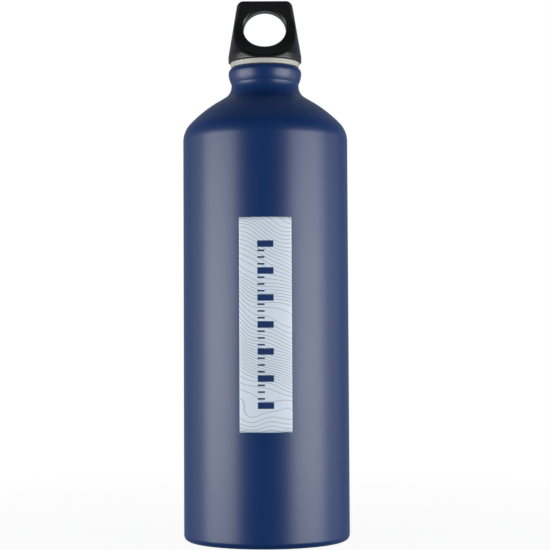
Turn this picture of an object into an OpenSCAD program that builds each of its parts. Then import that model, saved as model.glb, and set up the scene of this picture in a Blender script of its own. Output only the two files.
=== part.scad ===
// Aluminium bottle with a screw-in loop cap. It stands on its base at z = 0, its axis is Z,
// and the eye of the cap looks along Y. All lengths are in millimetres, all angles in degrees.
// The wall is one drawn skin: the same arcs, set inwards by its thickness, make its inside,
// and set inwards once more they make the ring that the neck is rolled round.

/* [Barrel] */
// Outer diameter of the barrel
body_d = 81; // [76:0.5:90]
// Height at which the straight barrel ends and the shoulder starts
barrel_top = 195.4; // [60:0.2:260]
// Thickness of the drawn wall
wall = 0.8; // [0.5:0.05:1.2]

/* [Base] */
// Thickness of the base
base_wall = 1.5; // [1:0.1:2.4]
// Radius of the outer edge at the foot
foot_round = 3; // [1.5:0.1:6]
// Width of the flat ring that the bottle stands on
foot_w = 3.5; // [2:0.1:8]
// Radius between that ring and the recess
foot_curl = 3; // [2.6:0.1:6]
// Depth of the domed recess
recess = 6; // [2:0.1:12]

/* [Shoulder] */
// Radius of the shoulder's tight outer bend
shoulder_round = 12.4; // [6:0.1:14]
// Angle through which the tight bend turns
shoulder_turn = 43.5; // [35:0.5:50]
// Radius of the flatter crown that follows
crown_round = 64; // [50:0.5:80]
// Slope of the cone that runs up to the neck
shoulder_slope = 31.4; // [28:0.1:36]

/* [Neck] */
// Diameter at the waist, where the neck is rolled in
waist_d = 33.2; // [32.4:0.1:34.4]
// Radius of the hollow between shoulder and neck
waist_round = 7.5; // [5:0.1:9]
// Height of the crease over the waist
crease_up = 0.8; // [0.4:0.1:1.6]
// Largest diameter of the neck
bulge_d = 36; // [35.4:0.1:38]
// Height of the largest diameter over the waist
bulge_up = 6.15; // [5:0.05:8]
// Radius that turns the neck over into its rim
rim_round = 2.8; // [2:0.1:3]
// Diameter of the mouth inside the rolled rim
lip_d = 28.8; // [28.6:0.1:29.2]

/* [Threaded ring] */
// Gap between the ring and the neck rolled round it
crimp_gap = 0.05; // [0.02:0.01:0.1]
// Length of the ring's sleeve below the waist
sleeve_down = 4.7; // [2:0.1:8]
// Bevel at both ends of the ring's bore
bore_bevel = 0.5; // [0.2:0.1:1]

/* [Gasket] */
// Thickness of the gasket
gasket_h = 2.4; // [1.5:0.1:4]
// Outer diameter of the gasket
gasket_d = 34.2; // [32:0.1:36]
// How much its lower edge draws in
gasket_draw = 0.3; // [0.1:0.05:0.6]
// Radius of its outer edges
gasket_edge = 0.25; // [0.1:0.05:0.4]
// Gap that lets the cap turn inside the gasket
gasket_gap = 0.1; // [0.05:0.05:0.2]

/* [Cap] */
// Diameter of the cap at its foot
cap_d = 36.2; // [35:0.1:40]
// Height of the cap over the gasket
cap_h = 30.4; // [28:0.1:36]
// Height of the straight band at its foot
band_h = 3; // [1:0.1:5]
// Diameter that the cone comes to at the top
cap_top_d = 27; // [25:0.1:32]
// Radius of the lower outer edge
cap_edge = 0.6; // [0.2:0.1:1]
// Radius of the two top corners
corner_round = 2.2; // [1:0.1:4]
// Thickness of the upright loop
loop_t = 9.4; // [7:0.1:12]
// Radius along the loop's top edges
loop_edge = 1; // [0.3:0.1:2]
// Height at which the sloping faces leave the cap's edge
face_start = 0.8; // [0.7:0.1:2]
// Slope of those faces
face_slope = 43; // [38:0.5:46]
// Radius where they run into the loop
face_round = 6; // [2:0.1:10]

/* [Eye] */
// Width of the oval eye
eye_w = 21; // [14:0.1:22]
// Height of the oval eye
eye_h = 19; // [12:0.1:20]
// Height of its centre over the cap's foot
eye_up = 16.15; // [15.5:0.05:18]

/* [Plug] */
// Diameter of the plug over its thread
plug_d = 28; // [26:0.1:28.2]
// Gap between the plug and the threaded ring, on the radius
thread_gap = 0.25; // [0.1:0.05:0.3]
// How far the plug reaches below the rim
plug_down = 13.2; // [8:0.1:16]
// Bevel at the plug's lower end
plug_bevel = 0.8; // [0.3:0.1:1.5]
// Diameter of the groove that holds the gasket
groove_d = 26.4; // [24:0.1:27]
// Diameter of the hollow up the middle
core_d = 20.8; // [14:0.1:22]
// How far the hollow reaches above the cap's foot
core_up = 3.4; // [1:0.1:4]
// Radius round the top of the hollow
core_round = 1.5; // [0.5:0.1:3]

/* [Hidden] */
$fn = 144;
// Largest turn from one point of a bend to the next
bend_step = 4;

// A point at distance r from centre c, in the direction a. A negative r gives the far side of
// the centre, which turns the bends below from full ones into hollow ones
function at(c, r, a) = [c[0] + r * cos(a), c[1] + r * sin(a)];

// Points along a bend from direction a to direction b. It can leave out its first point, where
// that is the last point of the bend before it
function bend(c, r, a, b, first = 0) =
    let (n = ceil(abs(b - a) / bend_step))
    [for (i = [first:n]) at(c, r, a + (b - a) * i / n)];

function reversed(path) = [for (i = [len(path) - 1:-1:0]) path[i]];

body_r = body_d / 2;
waist_r = waist_d / 2;
bulge_r = bulge_d / 2;

// Centres of the shoulder's two bends. They lie on one line, so the bends meet smoothly
shoulder_c = [body_r - shoulder_round, barrel_top];
crown_c = at(shoulder_c, shoulder_round - crown_round, shoulder_turn);

// The hollow under the neck touches the shoulder's cone, which sets the height of the waist
cone_dir = 90 - shoulder_slope;
cone_foot = at(crown_c, crown_round, cone_dir);
waist_cx = waist_r + waist_round;
waist_z = cone_foot[1] + (waist_round - cos(cone_dir) * (waist_cx - cone_foot[0])) / sin(cone_dir);
waist_c = [waist_cx, waist_z];

// The bulge starts at the crease and is upright where it is widest
crease_dir = asin(crease_up / waist_round);
crease = at(waist_c, -waist_round, -crease_dir);
bulge_z = waist_z + bulge_up;
bulge_dx = bulge_r - crease[0];
bulge_dz = bulge_z - crease[1];
bulge_round = (bulge_dx * bulge_dx + bulge_dz * bulge_dz) / (2 * bulge_dx);
bulge_c = [bulge_r - bulge_round, bulge_z];
bulge_dir = asin(bulge_dz / bulge_round);
rim_c = [bulge_r - rim_round, bulge_z];
rim_z = bulge_z + rim_round;

// The recess is a dome that touches the curl inside the foot ring
foot_in = body_r - foot_round - foot_w;
curl_c = [foot_in, foot_curl];
dome_r = (pow(foot_in, 2) + pow(foot_curl - recess, 2) - pow(foot_curl, 2)) / (2 * recess);
dome_c = [0, recess - dome_r];
dome_dir = atan2(foot_curl - dome_c[1], foot_in);

// The ring fits the inside of the neck, and its bore fits the plug's thread
ring_inset = wall + crimp_gap;
ring_z = rim_z - ring_inset;
sleeve_r = waist_r - ring_inset;
sleeve_z = waist_z - sleeve_down;
plug_r = plug_d / 2;
bore_r = plug_r + thread_gap;

// The gasket stands on the rim, and the cap on the gasket
foot_z = rim_z + gasket_h;
cap_r = cap_d / 2;
cap_top_r = cap_top_d / 2;
groove_r = groove_d / 2;
core_r = core_d / 2;
plug_z = rim_z - plug_down;
// Lean of the cap's cone off the axis
cap_lean = atan((cap_r - cap_top_r) / (cap_h - band_h));
// Where a sloping face would meet the loop's side, and how far the bend there reaches up
face_top = face_start + (cap_r - loop_t / 2) * tan(face_slope);
face_reach = face_round * tan((90 - face_slope) / 2);

// The neck's outline over the waist, set inwards. Outside, the crease is a sharp line
function neck_path(inset) = concat(
    bend(waist_c, -waist_round - inset, 0, -crease_dir),
    inset > 0 ? bend(crease, -inset, -crease_dir, -bulge_dir, 1) : [],
    bend(bulge_c, bulge_round - inset, -bulge_dir, 0, 1),
    bend(rim_c, rim_round - inset, 0, 90, 1)
);

// The bottle's outline from foot to rim, set inwards and standing on a floor
function bottle_path(inset, floor_z) = concat(
    bend([body_r - foot_round, floor_z + foot_round - inset], foot_round - inset, -90, 0),
    bend(shoulder_c, shoulder_round - inset, 0, shoulder_turn),
    bend(crown_c, crown_round - inset, shoulder_turn, cone_dir, 1),
    bend(waist_c, -waist_round - inset, cone_dir, 0),
    [for (i = [1:len(neck_path(inset)) - 1]) neck_path(inset)[i]]
);

// The base's underside from the axis to the foot ring, raised by a thickness
function base_path(raise) = concat(
    bend(dome_c, dome_r + raise, 90, dome_dir),
    bend(curl_c, foot_curl - raise, 180 + dome_dir, 270, 1)
);

// Drawn and rolled aluminium skin: base, barrel, shoulder, neck and turned-in rim
module bottle_shell() {
    lip_c = [(lip_d + wall) / 2, rim_z - wall / 2];
    color([0.14, 0.2, 0.42])
    rotate_extrude()
    polygon(concat(
        base_path(0),
        bottle_path(0, 0),
        bend(lip_c, wall / 2, 90, 270),
        reversed(bottle_path(wall, base_wall)),
        reversed(base_path(base_wall))
    ));
}

// Aluminium ring that carries the closure's inner thread, held by the neck rolled round it
module neck_thread_ring() {
    color([0.78, 0.79, 0.8])
    rotate_extrude()
    polygon(concat(
        [[sleeve_r, sleeve_z]],
        neck_path(ring_inset),
        [
            [bore_r + bore_bevel, ring_z],
            [bore_r, ring_z - bore_bevel],
            [bore_r, sleeve_z + bore_bevel],
            [bore_r + bore_bevel, sleeve_z]
        ]
    ));
}

// Pale silicone gasket, trapped in the plug's groove and pressed on the bottle's rim
module cap_gasket() {
    top_c = [gasket_d / 2 - gasket_edge, foot_z - gasket_edge];
    low_c = [top_c[0] - gasket_draw, rim_z + gasket_edge];
    side_dir = atan2(low_c[0] - top_c[0], top_c[1] - low_c[1]);
    color([0.87, 0.87, 0.82])
    rotate_extrude()
    polygon(concat(
        [[groove_r + gasket_gap, rim_z]],
        bend(low_c, gasket_edge, -90, side_dir),
        bend(top_c, gasket_edge, side_dir, 90),
        [[groove_r + gasket_gap, foot_z]]
    ));
}

// The cap's head as a solid of revolution: straight band, cone and rounded top
module cap_cone() {
    corner_c = [cap_top_r - corner_round * tan((90 - cap_lean) / 2), cap_h - corner_round];
    rotate_extrude()
    polygon(concat(
        [[0, 0]],
        bend([cap_r - cap_edge, cap_edge], cap_edge, -90, 0),
        [[cap_r, band_h]],
        bend(corner_c, corner_round, cap_lean, 90),
        [[0, cap_h]]
    ));
}

// The cap's outline seen from the side: one half, from its middle plane outwards
function cap_side() = concat(
    [
        [0, -1],
        [cap_r + 1, -1],
        [cap_r + 1, face_start - tan(face_slope)]
    ],
    bend([loop_t / 2 + face_round, face_top + face_reach], face_round, 270 - face_slope, 180),
    bend([loop_t / 2 - loop_edge, cap_h - loop_edge], loop_edge, 0, 90),
    [[0, cap_h]]
);

// The solid inside the neck: a plug as wide as its thread, and a groove for the gasket
module plug() {
    groove_z = rim_z - gasket_gap;
    overlap = face_start / 2;
    rotate_extrude()
    polygon([
        [0, plug_z],
        [plug_r - plug_bevel, plug_z],
        [plug_r, plug_z + plug_bevel],
        [plug_r, groove_z],
        [groove_r, groove_z],
        [groove_r, foot_z + overlap],
        [0, foot_z + overlap]
    ]);
}

// The hollow that the mould leaves up the middle of the plug
module core() {
    rotate_extrude()
    polygon(concat(
        [[0, plug_z - 1], [core_r, plug_z - 1]],
        bend([core_r - core_round, foot_z + core_up - core_round], core_round, 0, 90),
        [[0, foot_z + core_up]]
    ));
}

// Moulded cap: a cone cut down to an upright loop with an oval eye, over the hollow plug
module cap_body() {
    color([0.08, 0.08, 0.085])
    difference() {
        union() {
            translate([0, 0, foot_z])
            intersection() {
                cap_cone();
                rotate([90, 0, 90])
                linear_extrude(cap_d + 2, center = true)
                polygon(concat(cap_side(), [for (p = reversed(cap_side())) if (p[0] > 0) [-p[0], p[1]]]));
            }
            plug();
        }
        translate([0, 0, foot_z + eye_up])
        rotate([90, 0, 0])
        scale([eye_w / eye_h, 1, 1])
        cylinder(d = eye_h, h = cap_d + 2, center = true);
        core();
    }
}

bottle_shell();
neck_thread_ring();
cap_gasket();
cap_body();
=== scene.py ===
import math

import bpy
import numpy as np
from mathutils import Matrix, Vector


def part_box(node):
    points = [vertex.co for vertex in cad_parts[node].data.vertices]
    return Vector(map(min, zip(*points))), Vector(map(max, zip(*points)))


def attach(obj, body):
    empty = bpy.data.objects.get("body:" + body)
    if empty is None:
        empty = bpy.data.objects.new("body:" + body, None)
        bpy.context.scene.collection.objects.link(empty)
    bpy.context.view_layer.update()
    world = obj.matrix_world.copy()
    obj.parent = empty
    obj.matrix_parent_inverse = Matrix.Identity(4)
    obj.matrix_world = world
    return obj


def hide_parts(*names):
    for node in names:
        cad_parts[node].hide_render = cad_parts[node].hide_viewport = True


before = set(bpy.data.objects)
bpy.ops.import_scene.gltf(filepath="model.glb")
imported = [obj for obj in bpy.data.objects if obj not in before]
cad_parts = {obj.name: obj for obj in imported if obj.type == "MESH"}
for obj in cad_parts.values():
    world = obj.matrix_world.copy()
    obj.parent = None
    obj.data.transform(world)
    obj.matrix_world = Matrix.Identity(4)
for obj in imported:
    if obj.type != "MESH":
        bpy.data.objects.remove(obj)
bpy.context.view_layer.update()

# Bottle skin
# One aluminium shell, drawn up from a slug: domed base, straight barrel, tight shoulder bend, flatter
# crown and cone. Its neck is rolled in over the threaded ring, and the rim is turned inwards over it.
shell_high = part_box("bottle_shell")[1]
body_r = shell_high.x
rim_z = shell_high.z
barrel_top = 0.1954
wall = 0.0008
base_wall = 0.0015
foot_round = 0.003
foot_in = body_r - foot_round - 0.0035
foot_curl = 0.003
recess = 0.006
shoulder_round = 0.0124
shoulder_turn = 43.5
crown_round = 0.064
cone_dir = 58.6
waist_r = 0.0166
waist_round = 0.0075
crease_up = 0.0008
bulge_r = 0.018
rim_round = 0.0028
lip_r = 0.0148
base_zone = 0.02
wall_step = 0.004
same_place = 1e-7


def at(centre, radius, angle):
    """The point at a radius from a centre, in a direction. A negative radius gives the far side."""
    turn = math.radians(angle)
    return centre[0] + radius * math.cos(turn), centre[1] + radius * math.sin(turn)


def bend(centre, radius, start, end, step=1.5):
    """Points along an arc from one direction to another."""
    count = math.ceil(abs(end - start) / step)
    return [at(centre, radius, start + (end - start) * i / count) for i in range(count + 1)]


def steps(start, end, spacing):
    """Points along a straight stretch, without its ends, so that long walls keep even faces."""
    count = max(1, round(math.dist(start, end) / spacing))
    return [tuple(a + (b - a) * i / count for a, b in zip(start, end)) for i in range(1, count)]


def smooth_mesh(name, points, faces, sharp=30):
    """A mesh object with smooth shading, and with sharp edges where faces meet at a wide angle."""
    mesh = bpy.data.meshes.new(name)
    mesh.from_pydata(points, [], faces)
    mesh.validate()
    mesh.shade_smooth()
    mesh.set_sharp_from_angle(angle=math.radians(sharp))
    piece = bpy.data.objects.new(name, mesh)
    bpy.context.scene.collection.objects.link(piece)
    return piece


def turned(name, outline, around=192, groove=None, sharp=30):
    """Spins an outline of (radius, height) points round the axis. groove(turn, radius, height) may
    give each point another radius. An outline that doesn't start on the axis is closed to a ring."""
    outline = [p for i, p in enumerate(outline) if i == 0 or math.dist(p, outline[i - 1]) > same_place]
    points = []
    rows = []
    for radius, height in outline:
        if radius < same_place:
            rows.append([len(points)] * around)
            points.append((0, 0, height))
            continue
        rows.append(list(range(len(points), len(points) + around)))
        for k in range(around):
            turn = math.tau * k / around
            r = groove(turn, radius, height) if groove else radius
            points.append((r * math.cos(turn), r * math.sin(turn), height))
    pairs = list(zip(rows, rows[1:]))
    if outline[0][0] > 0:
        pairs.append((rows[-1], rows[0]))
    faces = []
    for low, high in pairs:
        for k in range(around):
            n = (k + 1) % around
            face = list(dict.fromkeys((low[k], low[n], high[n], high[k])))
            if len(face) > 2:
                faces.append(face)
    return smooth_mesh(name, points, faces, sharp)


shoulder_c = (body_r - shoulder_round, barrel_top)
crown_c = at(shoulder_c, shoulder_round - crown_round, shoulder_turn)
cone_foot = at(crown_c, crown_round, cone_dir)
waist_cx = waist_r + waist_round
slope = math.radians(cone_dir)
waist_z = cone_foot[1] + (waist_round - math.cos(slope) * (waist_cx - cone_foot[0])) / math.sin(slope)
waist_c = (waist_cx, waist_z)
crease_dir = math.degrees(math.asin(crease_up / waist_round))
crease = at(waist_c, -waist_round, -crease_dir)
bulge_z = rim_z - rim_round
bulge_dx = bulge_r - crease[0]
bulge_dz = bulge_z - crease[1]
bulge_round = (bulge_dx**2 + bulge_dz**2) / (2 * bulge_dx)
bulge_c = (bulge_r - bulge_round, bulge_z)
bulge_dir = math.degrees(math.asin(bulge_dz / bulge_round))
rim_c = (bulge_r - rim_round, bulge_z)
dome_r = (foot_in**2 + (foot_curl - recess) ** 2 - foot_curl**2) / (2 * recess)
dome_c = (0, recess - dome_r)
dome_dir = math.degrees(math.atan2(foot_curl - dome_c[1], foot_in))


def neck_line(inset):
    """The rolled neck from the waist to the top of the rim, set inwards."""
    hollow = bend(crease, -inset, -crease_dir, -bulge_dir) if inset > 0 else []
    return (
        bend(waist_c, -waist_round - inset, 0, -crease_dir)
        + hollow
        + bend(bulge_c, bulge_round - inset, -bulge_dir, 0)
        + bend(rim_c, rim_round - inset, 0, 90)
    )


def shell_line(inset, stand_z):
    """The skin from its foot to the rim, set inwards and standing at a height."""
    foot = bend((body_r - foot_round, stand_z + foot_round - inset), foot_round - inset, -90, 0)
    shoulder = bend(shoulder_c, shoulder_round - inset, 0, shoulder_turn)
    return (
        foot
        + steps(foot[-1], shoulder[0], wall_step)
        + shoulder
        + bend(crown_c, crown_round - inset, shoulder_turn, cone_dir)
        + bend(waist_c, -waist_round - inset, cone_dir, 0)
        + neck_line(inset)
    )


def base_line(rise):
    """The underside from the axis to the ring that the bottle stands on."""
    dome = bend(dome_c, dome_r + rise, 90, dome_dir)
    dome[0] = (0, dome[0][1])
    return dome + bend((foot_in, foot_curl), foot_curl - rise, 180 + dome_dir, 270)


coated = base_line(0) + shell_line(0, 0) + bend((lip_r, rim_z - wall / 2), wall / 2, 90, 180)
inside = shell_line(wall, base_wall)[::-1] + base_line(base_wall)[::-1]
bottle = turned("bottle_skin", coated + inside, around=256, sharp=18)

# The inner wall, from the lip down, and the inner base are lacquered. The coat is on all the rest.
for face in bottle.data.polygons:
    centre = face.center
    inwards = face.normal.x * centre.x + face.normal.y * centre.y < 0
    inner_wall = inwards and centre.z > recess + base_wall / 2
    inner_base = face.normal.z > 0 and centre.z < base_zone
    face.material_index = int(inner_wall or inner_base)


def shader(name):
    """A new material, its node tree and its principled shader."""
    material = bpy.data.materials.new(name)
    material.use_nodes = True
    tree = material.node_tree
    return material, tree, tree.nodes["Principled BSDF"]


def grain_group():
    """Shader group: a fine grain and a slow mottle over the surface, both by place on the piece."""
    group = bpy.data.node_groups.new("coat_grain", "ShaderNodeTree")
    for socket in ("Grain", "Mottle"):
        group.interface.new_socket(socket, in_out="INPUT", socket_type="NodeSocketFloat")
    for socket in ("Height", "Cloud"):
        group.interface.new_socket(socket, in_out="OUTPUT", socket_type="NodeSocketFloat")
    nodes, links = group.nodes, group.links
    given = nodes.new("NodeGroupInput")
    result = nodes.new("NodeGroupOutput")
    place = nodes.new("ShaderNodeTexCoord")
    for scale, output, detail in (("Grain", "Height", 3), ("Mottle", "Cloud", 4)):
        noise = nodes.new("ShaderNodeTexNoise")
        noise.inputs["Detail"].default_value = detail
        links.new(place.outputs["Object"], noise.inputs["Vector"])
        links.new(given.outputs[scale], noise.inputs["Scale"])
        links.new(noise.outputs["Fac"], result.inputs[output])
    return group


grain = grain_group()


def grained(tree, surface, fine, mottle, depth, dark, light, rough_low, rough_high):
    """Puts the grain on a surface: bump from its height, colour and roughness from its cloud. Gives
    back the grain's node and the bump node."""
    nodes, links = tree.nodes, tree.links
    texture = nodes.new("ShaderNodeGroup")
    texture.node_tree = grain
    texture.inputs["Grain"].default_value = fine
    texture.inputs["Mottle"].default_value = mottle
    bump = nodes.new("ShaderNodeBump")
    bump.inputs["Strength"].default_value = 1
    bump.inputs["Distance"].default_value = depth
    colour = nodes.new("ShaderNodeMix")
    colour.data_type = "RGBA"
    colour.inputs["A"].default_value = (*dark, 1)
    colour.inputs["B"].default_value = (*light, 1)
    rough = nodes.new("ShaderNodeMapRange")
    rough.inputs["To Min"].default_value = rough_low
    rough.inputs["To Max"].default_value = rough_high
    links.new(texture.outputs["Height"], bump.inputs["Height"])
    links.new(bump.outputs["Normal"], surface.inputs["Normal"])
    links.new(texture.outputs["Cloud"], colour.inputs["Factor"])
    links.new(colour.outputs["Result"], surface.inputs["Base Color"])
    links.new(texture.outputs["Cloud"], rough.inputs["Value"])
    links.new(rough.outputs["Result"], surface.inputs["Roughness"])
    return texture, bump


def powder_coat():
    """Satin navy powder coat: fine even grain, baked on, a little cloudy in its shade."""
    material, tree, surface = shader("powder_coat_navy")
    grained(
        tree,
        surface,
        fine=1900,
        mottle=45,
        depth=0.000006,
        dark=(0.0022, 0.0225, 0.103),
        light=(0.0034, 0.026, 0.118),
        rough_low=0.34,
        rough_high=0.39,
    )
    return material


def inner_lacquer():
    """The drawn aluminium inside, dulled by a thin clear lacquer."""
    material, tree, surface = shader("lacquered_aluminium")
    surface.inputs["Metallic"].default_value = 1
    grained(
        tree,
        surface,
        fine=1200,
        mottle=90,
        depth=0.00001,
        dark=(0.5, 0.5, 0.49),
        light=(0.66, 0.66, 0.64),
        rough_low=0.32,
        rough_high=0.5,
    )
    return material


bottle.data.materials.append(powder_coat())
bottle.data.materials.append(inner_lacquer())
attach(bottle, "bottle")
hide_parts("bottle_shell")

# Threaded ring
# A turned aluminium ring with a coarse right-handed inner thread of two turns. The bottle's neck is
# rolled round it, which holds it for good.
ring_low, ring_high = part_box("neck_thread_ring")
crimp_gap = 0.00005
ring_inset = wall + crimp_gap
sleeve_r = waist_r - ring_inset
bore_r = 0.01425
bore_bevel = 0.0005
pitch = 0.004
thread_flank = 0.45
crest_half = 0.00045
ring_crest = 0.0127
thread_low = ring_low.z + 0.0015
thread_high = ring_high.z - 0.0018
thread_fade = 0.0012
thread_step = 0.00012
tool_lines = 1400


def ridge(turn, height, shift, depth, low, high):
    """How far a helical ridge stands up at a turn and height, from 0 to its depth. It is lower
    towards both ends of the thread, and shift is its place in the pitch."""
    phase = (height - rim_z) / pitch - turn / math.tau - shift
    off_centre = np.abs(phase - np.round(phase)) * pitch
    flank = (crest_half + depth * thread_flank - off_centre) / thread_flank
    end = np.minimum(height - low, high - height) / thread_fade
    return np.clip(flank, 0, depth) * np.clip(end, 0, 1)


def ring_thread(turn, radius, height):
    """The bore's radius, drawn in by the thread's ridge. Other points keep their radius."""
    if abs(radius - bore_r) > same_place:
        return radius
    depth = bore_r - ring_crest
    return radius - ridge(turn, height, 0.5, depth, thread_low, thread_high)


bore_top = (bore_r, ring_high.z - bore_bevel)
bore_end = (bore_r, ring_low.z + bore_bevel)
ring_line = (
    [(sleeve_r, ring_low.z)]
    + neck_line(ring_inset)
    + [(bore_r + bore_bevel, ring_high.z), bore_top]
    + steps(bore_top, bore_end, thread_step)
    + [bore_end, (bore_r + bore_bevel, ring_low.z)]
)
ring = turned("neck_thread_ring_turned", ring_line, around=180, groove=ring_thread, sharp=40)


def calculated(tree, operation, *values):
    """A maths node. Each value is a number or another node's output."""
    node = tree.nodes.new("ShaderNodeMath")
    node.operation = operation
    for socket, value in zip(node.inputs, values):
        if isinstance(value, (int, float)):
            socket.default_value = value
        else:
            tree.links.new(value, socket)
    return node.outputs[0]


def turned_aluminium():
    """Machined aluminium: faint tool lines round the axis, over a dull grain."""
    material, tree, surface = shader("machined_aluminium")
    surface.inputs["Metallic"].default_value = 1
    texture, bump = grained(
        tree,
        surface,
        fine=1500,
        mottle=120,
        depth=0.000006,
        dark=(0.66, 0.67, 0.68),
        light=(0.76, 0.77, 0.78),
        rough_low=0.25,
        rough_high=0.4,
    )
    lines = tree.nodes.new("ShaderNodeTexWave")
    lines.bands_direction = "Z"
    lines.inputs["Scale"].default_value = tool_lines
    place = tree.nodes.new("ShaderNodeTexCoord")
    tree.links.new(place.outputs["Object"], lines.inputs["Vector"])
    height = calculated(tree, "ADD", texture.outputs["Height"], lines.outputs["Fac"])
    tree.links.new(height, bump.inputs["Height"])
    return material


ring.data.materials.append(turned_aluminium())
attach(ring, "bottle")
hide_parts("neck_thread_ring")

# Gasket
# An off-white silicone washer, moulded. It sits stretched in the plug's groove, lifts with the cap,
# and is pressed a little thinner between the cap's foot and the rolled rim.
gasket_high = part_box("cap_gasket")[1]
foot_z = gasket_high.z
groove_r = 0.0132
gasket_gap = 0.0001
gasket_edge = 0.00035
gasket_draw = 0.0003
gasket_top = (gasket_high.x - gasket_edge, foot_z - gasket_edge)
gasket_foot = (gasket_top[0] - gasket_draw, rim_z + gasket_edge)
side_dir = math.degrees(math.atan2(gasket_foot[0] - gasket_top[0], gasket_top[1] - gasket_foot[1]))
gasket_in = groove_r + gasket_gap
gasket_line = (
    [(gasket_in, rim_z)]
    + bend(gasket_foot, gasket_edge, -90, side_dir, step=10)
    + bend(gasket_top, gasket_edge, side_dir, 90, step=10)
    + [(gasket_in, foot_z)]
)
gasket = turned("cap_gasket_silicone", gasket_line, sharp=40)


def silicone():
    """Off-white silicone rubber, soft and slightly cloudy, with a mould's dull surface."""
    material, tree, surface = shader("silicone_off_white")
    surface.inputs["Subsurface Weight"].default_value = 0.15
    surface.inputs["Subsurface Radius"].default_value = (0.001, 0.0009, 0.0007)
    grained(
        tree,
        surface,
        fine=1500,
        mottle=220,
        depth=0.00001,
        dark=(0.4, 0.4, 0.35),
        light=(0.47, 0.47, 0.42),
        rough_low=0.45,
        rough_high=0.6,
    )
    return material


gasket.data.materials.append(silicone())
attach(gasket, "seal")
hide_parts("cap_gasket")

# Cap
# One black plastic moulding: a cone cut down by two sloping faces to an upright loop with an oval
# eye, over a hollow plug with a groove for the gasket and a coarse right-handed thread.
cap_low, cap_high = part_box("cap_body")
cap_r = cap_high.x
cap_h = cap_high.z - foot_z
plug_z = cap_low.z
band_h = 0.003
cap_top_r = 0.0135
cap_edge = 0.0006
corner_round = 0.0022
loop_half = 0.0047
loop_edge = 0.001
face_start = 0.0008
face_slope = math.radians(43)
face_round = 0.006
eye_wide = 0.0105
eye_tall = 0.0095
eye_up = 0.01615
eye_edge = 0.00125
plug_r = 0.014
plug_root = 0.0124
plug_bevel = 0.0008
flange_h = 0.0022
groove_lap = 0.001
flank_ease = 0.8
core_r = 0.0104
core_up = 0.0034
core_round = 0.0015
small_edge = 0.0003
cap_thread_low = plug_z + 0.0013
cap_thread_high = rim_z - 0.003
tiny = 1e-9
cap_lean = math.atan((cap_r - cap_top_r) / (cap_h - band_h))


def both(a, b, rounding):
    """Distance to what two forms share, with the edge between them rounded."""
    corner = np.hypot(np.maximum(a + rounding, 0), np.maximum(b + rounding, 0))
    return np.minimum(np.maximum(a, b), -rounding) + corner


def either(a, b, rounding):
    """Distance to two forms joined, with a hollow fillet between them."""
    return -both(-a, -b, rounding)


def cap_form(x, y, z):
    """Distance to the cap's surface: below zero in the plastic, above zero in the air. The thread's
    flanks are steep, so its share is eased to stay below the true distance."""
    up = z - foot_z
    r = np.hypot(x, y)
    turn = np.arctan2(y, x)
    cone = (r - cap_r + (up - band_h) * math.tan(cap_lean)) * math.cos(cap_lean)
    head = both(np.maximum(r - cap_r, cone), up - cap_h, corner_round)
    flat = (up - face_start - (cap_r - np.abs(y)) * math.tan(face_slope)) * math.cos(face_slope)
    head = both(head, either(np.abs(y) - loop_half, flat, face_round), loop_edge)
    head = both(head, -up, cap_edge)
    across = np.hypot(x / eye_wide, (up - eye_up) / eye_tall)
    steep = np.hypot(x / eye_wide**2, (up - eye_up) / eye_tall**2) + tiny
    head = both(head, -across * (across - 1) / steep, eye_edge)
    neck = np.maximum(np.maximum(r - groove_r, up - face_start), rim_z - groove_lap - z)
    depth = plug_r - plug_root
    threaded = r - plug_root - ridge(turn, z, 0, depth, cap_thread_low, cap_thread_high)
    screw = both(threaded * flank_ease, plug_z - z, plug_bevel)
    flange = both(r - plug_r, rim_z - flange_h - z, small_edge)
    screw = both(np.minimum(screw, flange), z - (rim_z - gasket_gap), small_edge)
    solid = np.minimum(head, np.minimum(neck, screw))
    core = both(r - core_r, up - core_up, core_round)
    return both(solid, -core, small_edge)


nudge = 2e-5
least_steep = 0.25


def settle(form, p, rounds=4):
    """Moves points on to the surface of a form, along its slope."""
    for _ in range(rounds):
        value = form(*p.T)
        rises = [form(*(p + nudge * e).T) - form(*(p - nudge * e).T) for e in np.eye(3)]
        steep = np.stack(rises, 1) / (2 * nudge)
        size = np.maximum((steep**2).sum(1, keepdims=True), least_steep)
        p = p - value[:, None] * steep / size
    return p


def skinned(form, low, high, step):
    """A quad skin over a form: one point in each grid cell that the surface crosses."""
    axes = [np.arange(a, b + step, step) for a, b in zip(low, high)]
    full = form(*np.meshgrid(*axes, indexing="ij")) < 0
    inside_corners = sum(
        full[i : full.shape[0] - 1 + i, j : full.shape[1] - 1 + j, k : full.shape[2] - 1 + k].astype(int)
        for i in (0, 1)
        for j in (0, 1)
        for k in (0, 1)
    )
    crossed = (inside_corners > 0) & (inside_corners < 8)
    number = np.full(crossed.shape, -1)
    number[crossed] = np.arange(crossed.sum())
    p = np.array(low) + (np.argwhere(crossed) + 0.5) * step
    quads = []
    for axis in range(3):
        one = np.eye(3, dtype=int)[(axis + 1) % 3]
        two = np.eye(3, dtype=int)[(axis + 2) % 3]
        start = np.take(full, range(full.shape[axis] - 1), axis)
        end = np.take(full, range(1, full.shape[axis]), axis)
        for leaving in (True, False):
            cell = np.argwhere((start != end) & (start == leaving))
            round_edge = [cell - one - two, cell - two, cell, cell - one]
            if not leaving:
                round_edge.reverse()
            quads.append(np.stack([number[tuple(c.T)] for c in round_edge], 1))
    return p, np.concatenate(quads)


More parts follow.
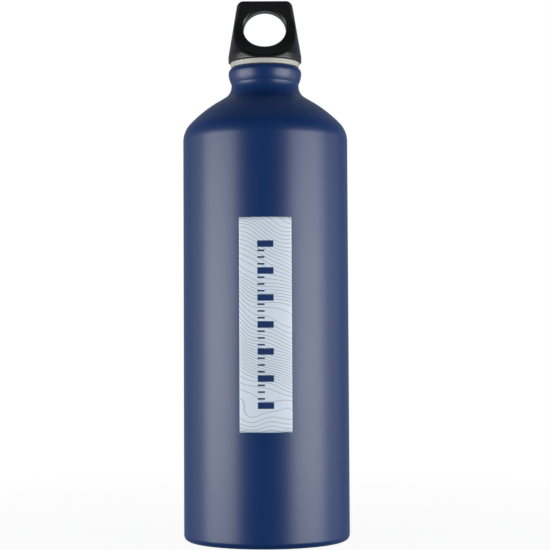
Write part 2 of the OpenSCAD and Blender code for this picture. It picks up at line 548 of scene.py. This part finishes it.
def evened(form, p, quads, rounds=4):
    """Draws each point towards the middle of its neighbours and back on to the form."""
    ends = np.concatenate([quads[:, [i, (i + 1) % 4]] for i in range(4)])
    count = np.bincount(ends[:, 0], minlength=len(p)) + np.bincount(ends[:, 1], minlength=len(p))
    for _ in range(rounds):
        total = np.zeros_like(p)
        for axis in range(3):
            total[:, axis] = np.bincount(ends[:, 0], p[ends[:, 1], axis], len(p))
            total[:, axis] += np.bincount(ends[:, 1], p[ends[:, 0], axis], len(p))
        p = settle(form, 0.5 * p + 0.5 * total / count[:, None], 2)
    return p


cap_step = 0.00036
cap_margin = 0.0012
cap_from = (-cap_r - cap_margin, -cap_r - cap_margin, plug_z - cap_margin)
cap_to = (cap_r + cap_margin, cap_r + cap_margin, cap_high.z + cap_margin)
cap_points, cap_quads = skinned(cap_form, cap_from, cap_to, cap_step)
cap_points = evened(cap_form, settle(cap_form, cap_points), cap_quads)
cap = smooth_mesh("cap_moulding", cap_points.tolist(), cap_quads.tolist(), sharp=60)


def black_plastic():
    """Black moulded polypropylene: satin, with the mould's faint spark-eroded grain."""
    material, tree, surface = shader("plastic_black")
    grained(
        tree,
        surface,
        fine=1800,
        mottle=120,
        depth=0.000014,
        dark=(0.004, 0.004, 0.0042),
        light=(0.0065, 0.0065, 0.007),
        rough_low=0.29,
        rough_high=0.36,
    )
    return material


cap.data.materials.append(black_plastic())
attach(cap, "cap")
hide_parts("cap_body")

# Printed panel
# A pale ink panel, screen-printed on the powder coat and baked: fine flowing grey lines over its
# whole ground, and a plain graduated scale in the coat's navy down its middle.
panel_low = 0.0544
panel_high = 0.1551
panel_turn = math.radians(17.7)
ink_up = 0.00004
ink_thick = 0.000032
panel_columns = 40
panel_rows = 60
ink_ground = (0.62, 0.7, 0.78)
ink_line = (0.05, 0.07, 0.1)
coat_navy = (0.003, 0.024, 0.11)
ink_rough = 0.42
line_gap = 0.0019
line_half = 0.00007
swell_scale = 34
swell_depth = 0.036
swell_detail = 1.3
swell_rough = 0.35
lean = 0.25
probe = 0.0001
long_gap = 0.0126
long_half = 0.00155
long_each_way = 3
short_gap = long_gap / 4
short_half = 0.0004
short_right = -0.0004
scale_half = 0.0038


def panel_sheet():
    """The printed film, laid round the front of the barrel."""
    points = []
    for row in range(panel_rows + 1):
        height = panel_low + (panel_high - panel_low) * row / panel_rows
        for column in range(panel_columns + 1):
            turn = panel_turn * (2 * column / panel_columns - 1) - math.pi / 2
            radius = body_r + ink_up
            points.append((radius * math.cos(turn), radius * math.sin(turn), height))
    wide = panel_columns + 1
    faces = [
        (a, a + 1, a + wide + 1, a + wide)
        for row in range(panel_rows)
        for a in range(row * wide, row * wide + panel_columns)
    ]
    sheet = smooth_mesh("printed_panel", points, faces)
    film = sheet.modifiers.new("ink", "SOLIDIFY")
    film.thickness = ink_thick
    film.offset = -1
    return sheet


def flow(tree, place, shift):
    """How far along the flowing lines a place lies, counted in lines, after a small shift."""
    moved = tree.nodes.new("ShaderNodeVectorMath")
    moved.operation = "ADD"
    moved.inputs[1].default_value = shift
    swell = tree.nodes.new("ShaderNodeTexNoise")
    swell.inputs["Scale"].default_value = swell_scale
    swell.inputs["Detail"].default_value = swell_detail
    swell.inputs["Roughness"].default_value = swell_rough
    split = tree.nodes.new("ShaderNodeSeparateXYZ")
    tree.links.new(place, moved.inputs[0])
    tree.links.new(moved.outputs[0], swell.inputs["Vector"])
    tree.links.new(moved.outputs[0], split.inputs[0])
    rise = calculated(tree, "MULTIPLY_ADD", split.outputs["X"], lean, split.outputs["Z"])
    rise = calculated(tree, "MULTIPLY_ADD", swell.outputs["Fac"], swell_depth, rise)
    return calculated(tree, "MULTIPLY", rise, 1 / line_gap)


def mixed(tree, share, first, second):
    """A colour mix. Each colour is a plain colour or another node's output."""
    mix = tree.nodes.new("ShaderNodeMix")
    mix.data_type = "RGBA"
    for socket, value in (("Factor", share), ("A", first), ("B", second)):
        if isinstance(value, tuple):
            mix.inputs[socket].default_value = (*value, 1)
        else:
            tree.links.new(value, mix.inputs[socket])
    return mix.outputs["Result"]


def flowing_line(tree, place):
    """1 on a flowing line and 0 beside it. The distance is worked out from the slope, so that all
    lines are as wide."""
    here = flow(tree, place, (0, 0, 0))
    step_x = calculated(tree, "SUBTRACT", flow(tree, place, (probe, 0, 0)), here)
    step_z = calculated(tree, "SUBTRACT", flow(tree, place, (0, 0, probe)), here)
    steep = calculated(tree, "MULTIPLY", step_x, step_x)
    steep = calculated(tree, "MULTIPLY_ADD", step_z, step_z, steep)
    steep = calculated(tree, "SQRT", steep)
    off_line = calculated(tree, "PINGPONG", here, 0.5)
    distance = calculated(tree, "DIVIDE", calculated(tree, "MULTIPLY", off_line, probe), steep)
    return calculated(tree, "LESS_THAN", distance, line_half)


def scale_bar(tree, place):
    """1 on a bar of the graduated scale and 0 beside it: thick long bars, and thin short ones between
    them."""
    split = tree.nodes.new("ShaderNodeSeparateXYZ")
    tree.links.new(place, split.inputs[0])
    across, up = split.outputs["X"], split.outputs["Z"]
    along = calculated(tree, "SUBTRACT", up, (panel_low + panel_high) / 2)
    bars = []
    for gap, thick, right in ((long_gap, long_half, scale_half), (short_gap, short_half, short_right)):
        off_bar = calculated(tree, "PINGPONG", along, gap / 2)
        bar = calculated(tree, "LESS_THAN", off_bar, thick)
        short_of = calculated(tree, "LESS_THAN", across, right)
        bars.append(calculated(tree, "MULTIPLY", bar, short_of))
    past_left = calculated(tree, "GREATER_THAN", across, -scale_half)
    reach = calculated(tree, "ABSOLUTE", along)
    within = calculated(tree, "LESS_THAN", reach, long_each_way * long_gap + long_half)
    bar = calculated(tree, "MULTIPLY", calculated(tree, "MAXIMUM", *bars), past_left)
    return calculated(tree, "MULTIPLY", bar, within)


def printed_ink():
    """Pale ground, flowing lines and scale, each by its place on the panel."""
    material, tree, surface = shader("panel_ink")
    surface.inputs["Roughness"].default_value = ink_rough
    place = tree.nodes.new("ShaderNodeTexCoord").outputs["Object"]
    ground = mixed(tree, flowing_line(tree, place), ink_ground, ink_line)
    colour = mixed(tree, scale_bar(tree, place), ground, coat_navy)
    tree.links.new(colour, surface.inputs["Base Color"])
    return material


panel = panel_sheet()
panel.data.materials.append(printed_ink())
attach(panel, "bottle")

# Stage
# A pale floor on a white ground, a tall soft box and a weak fill on each side, and the camera at the
# photograph's view. None of it is part of the bottle.
bpy.context.scene.view_settings.view_transform = "Standard"
white = (1, 1, 1, 1)
floor_size = 6
floor_drop = 0.00002
floor_grey = (0.9, 0.9, 0.9, 1)
floor_share = 0.06
fade_from = 0.05
fade_to = 0.5


def floor_paint():
    """White to the camera, with a faint shadow round the foot. It isn't there for light and
    reflections, so that the soft boxes can reach below it, nor when seen from below."""
    material = bpy.data.materials.new("floor_pale")
    material.use_nodes = True
    nodes, links = material.node_tree.nodes, material.node_tree.links
    nodes.clear()
    out = nodes.new("ShaderNodeOutputMaterial")
    seen = nodes.new("ShaderNodeLightPath")
    glow = nodes.new("ShaderNodeEmission")
    glow.inputs["Color"].default_value = white
    paint = nodes.new("ShaderNodeBsdfDiffuse")
    paint.inputs["Color"].default_value = floor_grey
    gone = nodes.new("ShaderNodeBsdfTransparent")
    pale = nodes.new("ShaderNodeMixShader")
    away = nodes.new("ShaderNodeVectorMath")
    away.operation = "LENGTH"
    fade = nodes.new("ShaderNodeMapRange")
    fade.interpolation_type = "SMOOTHSTEP"
    fade.inputs["From Min"].default_value = fade_from
    fade.inputs["From Max"].default_value = fade_to
    fade.inputs["To Min"].default_value = floor_share
    fade.inputs["To Max"].default_value = 0
    place = nodes.new("ShaderNodeTexCoord")
    pick = nodes.new("ShaderNodeMixShader")
    links.new(place.outputs["Object"], away.inputs[0])
    links.new(away.outputs["Value"], fade.inputs["Value"])
    links.new(fade.outputs["Result"], pale.inputs[0])
    links.new(glow.outputs[0], pale.inputs[1])
    links.new(paint.outputs[0], pale.inputs[2])
    facing = nodes.new("ShaderNodeNewGeometry")
    shown = nodes.new("ShaderNodeMath")
    shown.operation = "SUBTRACT"
    links.new(seen.outputs["Is Camera Ray"], shown.inputs[0])
    links.new(facing.outputs["Backfacing"], shown.inputs[1])
    links.new(shown.outputs[0], pick.inputs[0])
    links.new(gone.outputs[0], pick.inputs[1])
    links.new(pale.outputs[0], pick.inputs[2])
    links.new(pick.outputs[0], out.inputs["Surface"])
    return material


def floor_sheet():
    """A flat square under the bottle, a hair below its foot."""
    half = floor_size / 2
    corners = [(-half, -half, 0), (half, -half, 0), (half, half, 0), (-half, half, 0)]
    sheet = smooth_mesh("floor", corners, [(0, 1, 2, 3)])
    sheet.location.z = -floor_drop
    return sheet


floor = floor_sheet()
floor.data.materials.append(floor_paint())

room_front = 0.05
room_back = 0.36
room_tint = (0.74, 0.85, 1, 1)
shade_from = -0.1
shade_to = 0.9


def sky():
    """White behind everything for the camera. For light and reflections it is a bluish grey room, dark
    on the camera's side and brighter behind the bottle."""
    world = bpy.data.worlds.new("studio")
    bpy.context.scene.world = world
    world.use_nodes = True
    nodes, links = world.node_tree.nodes, world.node_tree.links
    nodes.clear()
    out = nodes.new("ShaderNodeOutputWorld")
    seen = nodes.new("ShaderNodeLightPath")
    room = nodes.new("ShaderNodeBackground")
    place = nodes.new("ShaderNodeTexCoord")
    split = nodes.new("ShaderNodeSeparateXYZ")
    shade = nodes.new("ShaderNodeMapRange")
    shade.inputs["From Min"].default_value = shade_from
    shade.inputs["From Max"].default_value = shade_to
    shade.inputs["To Min"].default_value = room_front
    shade.inputs["To Max"].default_value = room_back
    links.new(place.outputs["Generated"], split.inputs[0])
    links.new(split.outputs["Y"], shade.inputs["Value"])
    room.inputs["Color"].default_value = room_tint
    links.new(shade.outputs["Result"], room.inputs["Strength"])
    behind = nodes.new("ShaderNodeBackground")
    behind.inputs["Color"].default_value = white
    pick = nodes.new("ShaderNodeMixShader")
    links.new(seen.outputs["Is Camera Ray"], pick.inputs[0])
    links.new(room.outputs[0], pick.inputs[1])
    links.new(behind.outputs[0], pick.inputs[2])
    links.new(pick.outputs[0], out.inputs["Surface"])


sky()
box_away = 0.9
box_up = 0.11
box_tall = 0.54


def soft_box(name, azimuth, wide, power):
    """A rectangular soft light that faces the bottle's axis. Azimuth 0 is the camera's side, and
    a positive one is to the camera's right."""
    light = bpy.data.lights.new(name, "AREA")
    light.shape = "RECTANGLE"
    light.size = wide
    light.size_y = box_tall
    light.energy = power
    box = bpy.data.objects.new(name, light)
    bpy.context.scene.collection.objects.link(box)
    turn = math.radians(azimuth)
    box.location = (box_away * math.sin(turn), -box_away * math.cos(turn), box_up)
    aim = Vector((0, 0, box_up)) - box.location
    box.rotation_euler = aim.to_track_quat("-Z", "Y").to_euler()
    box.visible_camera = False


soft_box("soft_box_left", -65, wide=0.86, power=9.2)
soft_box("fill_left", -107, wide=0.45, power=0.5)
soft_box("soft_box_right", 59, wide=0.86, power=9.5)
soft_box("fill_right", 102, wide=0.5, power=0.85)

focal_px = 1576.56
frame_px = 550
camera_place = (0.0045, -0.7764, 0.0949)
camera_tilt = 0.0447
camera_roll = -0.0049
lens = bpy.data.cameras.new("camera")
lens.sensor_width = 36
lens.lens = lens.sensor_width * focal_px / frame_px
lens.clip_start = 0.01
camera = bpy.data.objects.new("camera", lens)
bpy.context.scene.collection.objects.link(camera)
camera.matrix_world = (
    Matrix.Translation(camera_place)
    @ Matrix.Rotation(math.pi / 2 + camera_tilt, 4, "X")
    @ Matrix.Rotation(camera_roll, 4, "Z")
)
bpy.context.scene.camera = camera
